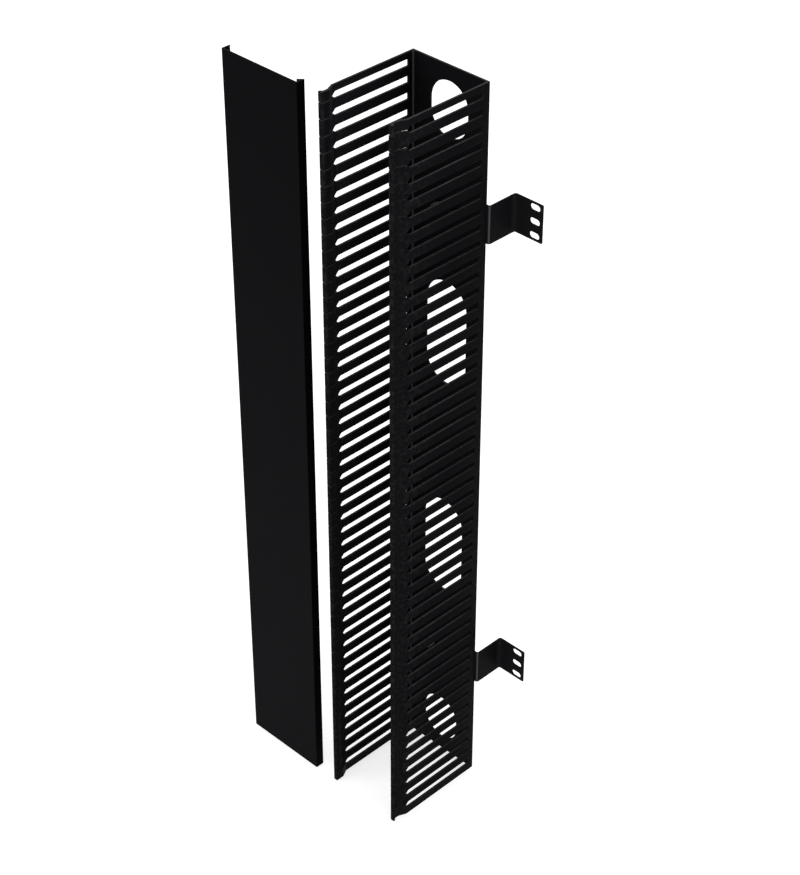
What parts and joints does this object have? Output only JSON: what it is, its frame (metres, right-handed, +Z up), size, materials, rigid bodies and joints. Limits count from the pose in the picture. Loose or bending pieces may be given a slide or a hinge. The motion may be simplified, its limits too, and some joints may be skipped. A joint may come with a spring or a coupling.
{
  "type": "vertical cable manager",
  "caption": "Tall open-ended finger duct for cables at the side of a server rack, with cable holes in its back, a clip-on front cover standing beside it, and bent brackets with slotted ears.",
  "frame": {"origin": "on the floor, in the middle of the box round the duct, its brackets and the cover beside it", "axes": "+Z up along the duct, -Y towards the viewer of the rack's front, out of the duct's open side, +Y towards the rack's rail, +X to the side on which the brackets' ears stand out"},
  "size_m": [0.2752, 0.1704, 0.889],
  "materials": {
    "duct": "satin",
    "cover": "satin",
    "bracket": "satin",
    "fasteners": "satin"
  },
  "bodies": {
    "duct": {"duct_back": "duct", "left_fingers": "duct", "right_fingers": "duct", "upper_bracket": "bracket", "lower_bracket": "bracket", "upper_bracket_screws": "fasteners", "lower_bracket_screws": "fasteners", "upper_bracket_nuts": "fasteners", "lower_bracket_nuts": "fasteners"},
    "cover": {"cover": "cover"}
  },
  "joints": [
    {"name": "cover_pull_off", "type": "slide", "parent": "duct", "child": "cover", "axis": [0, -1, 0], "range_m": [0, 0.1]}
  ]
}
